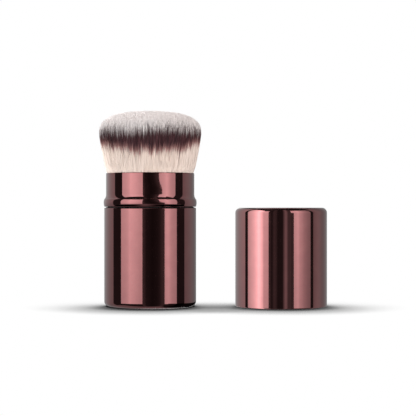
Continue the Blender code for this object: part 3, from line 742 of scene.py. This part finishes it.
def studioCards():
    card = reflectorMaterial()
    dark = studio["dark"]
    low, high = studio["boxLowMm"], studio["boxHighMm"]
    full = [(studio["wallLowMm"], 1), (studio["ceilingMm"], 1)]
    sideLit = [(studio["wallLowMm"], 0.6), (-26, 0.84), (31, 1.0), (50, 1.1), (studio["ceilingMm"], 1.14)]
    lit = [(low, 0.72), (-26, 0.82), (7, 0.93), (31, 1.0), (50, 1.1), (120, 1.14), (high, 1.14)]
    below = [(studio["wallLowMm"], 1), (low, 1)]

    def ring(distance, glows):
        return [(*compass(azimuth, distance), glow) for azimuth, glow in glows]

    boxLeft = ring(420, [(-74, 1.45), (-65, 1.57), (-59, 1.69), (-54, 1.86), (-49, 2.2), (-43, 2.07),
                         (-38, 1.97), (-33, 1.83), (-28, 1.71), (-23, 1.55), (-12, 1.5), (-4, 1.5)])
    boxRight = ring(330, [(12, 1.4), (28, 1.5), (34.5, 1.6), (40, 1.72), (44, 1.92), (46.5, 1.85),
                          (49.5, 1.5), (54.5, 1.3), (59.5, 1.0), (64.5, 0.83), (69.5, 0.68), (76, 0.58)])
    flagLeft = ring(425, [(-101, dark), (-87, dark), (-73.5, dark)])
    flagRight = ring(335, [(75.5, dark), (80, dark), (83.5, dark)])
    sideLeft = ring(440, [(-165, 0.38), (-145, 0.42), (-125, 0.45), (-100.5, 0.45)])
    sideRight = ring(340, [(83.3, 0.34), (89, 0.41), (96, 0.45), (103, 0.43), (112, 0.33), (121, 0.28),
                           (134, 0.27), (150, 0.27), (165, 0.27)])
    middle = [(-38.6, -134.5, 0.12), (-30, -137, 0.1), (-18, -142, dark), (20, -155, 0.02), (60, -169, 0.03),
              (84, -177, 0.05), (110, -186, 0.1), (154, -202, 0.12)]
    # the right end of the middle flag is uneven where the neck mirrors it
    uneven = [(studio["wallLowMm"], 1, 1), (38, 1, 1), (40, 1, 0.93), (41.7, 1, 0.82), (43, 1, 0.82),
              (44.5, 1, 0.85), (46, 1, 0.75), (47.3, 1, 0.66), (49.5, 1, 0.6), (52, 1, 0.6), (54.5, 1, 0.75),
              (58, 1, 0.75), (64, 1, 0.67), (74, 1, 0.61), (studio["ceilingMm"], 1, 0.58)]
    reflector("softboxLeft", boxLeft, lit, card)
    reflector("softboxRight", boxRight, lit, card)
    reflector("flagLeft", flagLeft, full, card)
    reflector("flagRight", flagRight, full, card)
    reflector("flagMiddle", middle, uneven, card)
    reflector("coverLeft", [(x, y, dark) for x, y, glow in boxLeft], below, card)
    reflector("coverRight", [(x, y, dark) for x, y, glow in boxRight], below, card)
    reflector("sideLeft", sideLeft, sideLit, card)
    reflector("sideRight", sideRight, full, card)
    # behind, for views from the back: a pale wall between two black strips
    reflector("backLeft", ring(460, [(-176, dark), (-172, dark), (-168, dark), (-164, dark)]), full, card)
    reflector("backRight", ring(460, [(164, dark), (168, dark), (172, dark), (176, dark)]), full, card)
    # A two-faced card between brush and cap, so that each shows the studio and not the other.
    # Its front ends carry on the softboxes on either side.
    gap = (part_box("cap_shell")[0].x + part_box("barrel_shell")[1].x) / 2 / mm
    tall = [(-60, 0.02), (-0.6, 0.02), (0.6, 0.9), (7, 0.93), (31, 1.0), (51, 1.15), (52, 1.0), (54, 0.04),
            (250, 0.03)]
    behindFloor = [(-60, 0.88), *tall[2:]]
    towardsBrush = [(-29.5, 1.9), (-26.3, 1.63), (-23.5, 1.39), (-20.7, 1.25), (-17.6, 1.1), (-17.4, dark),
                    (-9.5, dark), (-9.3, 0.35), (-5.7, 0.38), (-3.2, 0.37), (0, 0.33), (5, 0.24), (40, 0.24)]
    towardsCap = [(-29.5, 2.6), (-27.4, 3.0), (-25.6, 3.6), (-23, 4.4), (-21.5, 4.3), (-20.2, 3.7),
                  (-17.7, 3.0), (-16.6, 2.7), (-14.4, 2.3), (-12.3, 1.9), (-10.4, 1.5), (-10.2, dark),
                  (-7.6, dark), (-7.4, 0.77), (-4.8, 0.72), (-2.2, 0.64), (1.3, 0.53), (7.8, 0.45),
                  (40, 0.42)]
    halfCard = 0.6
    reflector("gapLeft", [(gap - halfCard, y, glow) for y, glow in towardsBrush], tall, card)
    reflector("gapRight", [(gap + halfCard, y, glow) for y, glow in towardsCap], behindFloor, card)
    # a strip close to the cap, with the thin line that it shows in its dark middle
    thin = [(38, 0.04), (39.8, 0.12), (41.5, 0.1), (43.1, dark), (47, 0.04), (48.1, 0.25), (49.2, 0.46),
            (50, 0.47), (50.8, 0.28), (51.6, 0.14), (53.1, 0.14), (54, 0.15)]
    reflector("capStrip", [(x, -27, glow) for x, glow in thin], [(-20, 0.8), (10, 1), (60, 0.8)], card)
    # Painted shade and reflection round the groove: a small black card there, seen in gloss alone, which the
    # underside of the bead mirrors as a dark groove, with a faint lit strip in front and a pale outer edge,
    # and a black wall on its sides.
    # Its section is (radius, height, added glow) and its glows are (azimuth, glow).
    grooveShade = {"section": [(16.78, 35.72, 0), (16.78, 35.4, 0), (20.3, 35.4, 0), (22.3, 35.4, 0.4)],
             "glows": [(-50, 0), (-42, 0), (-34, 0), (-26, 0), (-18, 0.02), (-13, 0.1), (-8, 0.25),
                       (-2, 0.22), (4, 0.1), (10, 0.02), (18, 0), (26, 0), (34, 0), (42, 0), (50, 0),
                       (54, 0)],
             "sides": {"Left": range(-150, -49, 5), "Right": range(54, 150, 5)}}
    rings = [[(*compass(azimuth, radius), height) for azimuth, glow in grooveShade["glows"]]
             for radius, height, added in grooveShade["section"]]
    glows = [[glow + added for azimuth, glow in grooveShade["glows"]] for radius, height, added in grooveShade["section"]]
    gridCard("grooveShade", rings, glows, card)
    for side, turns in grooveShade["sides"].items():
        wall = [[(*compass(azimuth, radius), height) for azimuth in turns]
                for radius, height, added in grooveShade["section"][:2]]
        gridCard("grooveShade" + side, wall, [[dark] * len(turns)] * 2, card)
    # black ceiling over the front, and a table, black in front and pale behind: height, glow, both edges
    wide = studio["flatMm"]
    flats = {"ceiling": (studio["ceilingMm"], dark, -wide, 220),
             "tableDark": (studio["wallLowMm"] - 1, dark, -wide, -120),
             "tableGlow": (studio["wallLowMm"], studio["tableGlow"], -140, wide)}
    for name, (height, glow, near, far) in flats.items():
        corners = [[(-wide, y, height), (wide, y, height)] for y in (near, far)]
        gridCard(name, corners, [[glow] * 2] * 2, card)


def paleFloor():
    # White paper floor: plain white to the camera but for the shadow that gathers under brush and cap
    settings = {"fibre": "#eeeeed", "between": "#f4f4f3", "fibreMm": 1.5}
    material, tree = newMaterial("whitePaperFloor")
    path = addNode(tree, "ShaderNodeLightPath")
    shade = grey(1.0)
    for distance, lean, stops in studio["contacts"]:
        towards = addNode(tree, "ShaderNodeCombineXYZ", links={"Y": lean, "Z": 1.0})
        contact = addNode(tree, "ShaderNodeAmbientOcclusion", {"samples": studio["contactSamples"]}, {
            "Distance": distance * mm, "Normal": towards})
        soft = rampStops(addNode(tree, "ShaderNodeValToRGB", links={"Fac": contact.outputs["AO"]}), [
            (place, grey(level)) for place, level in stops])
        shade = addNode(tree, "ShaderNodeMix", {"data_type": "RGBA", "blend_type": "MULTIPLY"}, {
            0: 1.0, 6: shade, 7: soft.outputs[0]}).outputs[2]
    seen = addNode(tree, "ShaderNodeEmission", links={"Color": shade, "Strength": 1.0})
    fibres = addNode(tree, "ShaderNodeTexNoise", links={
        "Vector": addNode(tree, "ShaderNodeTexCoord").outputs["Object"],
        "Scale": perMetre(settings["fibreMm"]), "Detail": 4.0})
    tone = rampStops(addNode(tree, "ShaderNodeValToRGB", links={"Fac": fibres}), [
        (0.4, linear(settings["fibre"])), (0.6, linear(settings["between"]))])
    paper = addNode(tree, "ShaderNodeBsdfDiffuse", links={"Color": tone})
    mixed = addNode(tree, "ShaderNodeMixShader", links={0: path.outputs["Is Camera Ray"], 1: paper, 2: seen})
    mesh = bpy.data.meshes.new("floor")
    edge = studio["floorEdge"]
    corners = [(-edge, -edge, 0), (edge, -edge, 0), (edge, edge, 0), (-edge, edge, 0)]
    mesh.from_pydata(corners, [], [(0, 1, 2, 3)])
    mesh.materials.append(surfaced(material, mixed))
    floor = addObject("floor", mesh)
    floor.visible_glossy = False


def studioWorld():
    # white where the camera, gloss or glass looks past everything; a plain level for the rest
    world = bpy.data.worlds.new("whiteStudio")
    bpy.context.scene.world = world
    world.use_nodes = True
    tree = world.node_tree
    tree.nodes.clear()
    path = addNode(tree, "ShaderNodeLightPath")
    direct = addNode(tree, "ShaderNodeMath", {"operation": "MAXIMUM"}, {
        0: path.outputs["Is Camera Ray"], 1: path.outputs["Is Glossy Ray"]})
    white = addNode(tree, "ShaderNodeMath", {"operation": "MAXIMUM"}, {
        0: direct, 1: path.outputs["Is Transmission Ray"]})
    strength = addNode(tree, "ShaderNodeMapRange", links={"Value": white, "To Min": studio["ambient"]})
    background = addNode(tree, "ShaderNodeBackground", links={"Color": grey(1), "Strength": strength})
    addNode(tree, "ShaderNodeOutputWorld", links={"Surface": background})


def softLamps():
    for name, (place, watts, colour) in studio["lamps"].items():
        data = bpy.data.lights.new(name, "AREA")
        data.shape, data.size, data.energy, data.color = "DISK", studio["lampSize"], watts, colour
        lamp = addObject(name, data)
        lamp.location = place
        aim = Vector(studio["lampTarget"]) - Vector(place)
        lamp.rotation_euler = aim.to_track_quat("-Z", "Y").to_euler()
        lamp.visible_glossy = False


def studioCamera():
    # level with the middle of the pair and well back, as the pair was shot
    view = {"xMm": 20.8, "heightMm": 35.3, "distanceMm": 500, "focalPx": 1388, "framePx": 416,
            "sensorMm": 36, "clip": (0.01, 50)}
    data = bpy.data.cameras.new("camera")
    data.sensor_width = view["sensorMm"]
    data.lens = view["focalPx"] / view["framePx"] * view["sensorMm"]
    data.clip_start, data.clip_end = view["clip"]
    camera = addObject("camera", data)
    camera.location = (view["xMm"] * mm, -view["distanceMm"] * mm, view["heightMm"] * mm)
    camera.rotation_euler = (math.radians(90), 0, 0)
    bpy.context.scene.camera = camera


studioCards()
paleFloor()
studioWorld()
softLamps()
studioCamera()
bpy.context.scene.view_settings.view_transform = "Standard"
print("studio: lit")
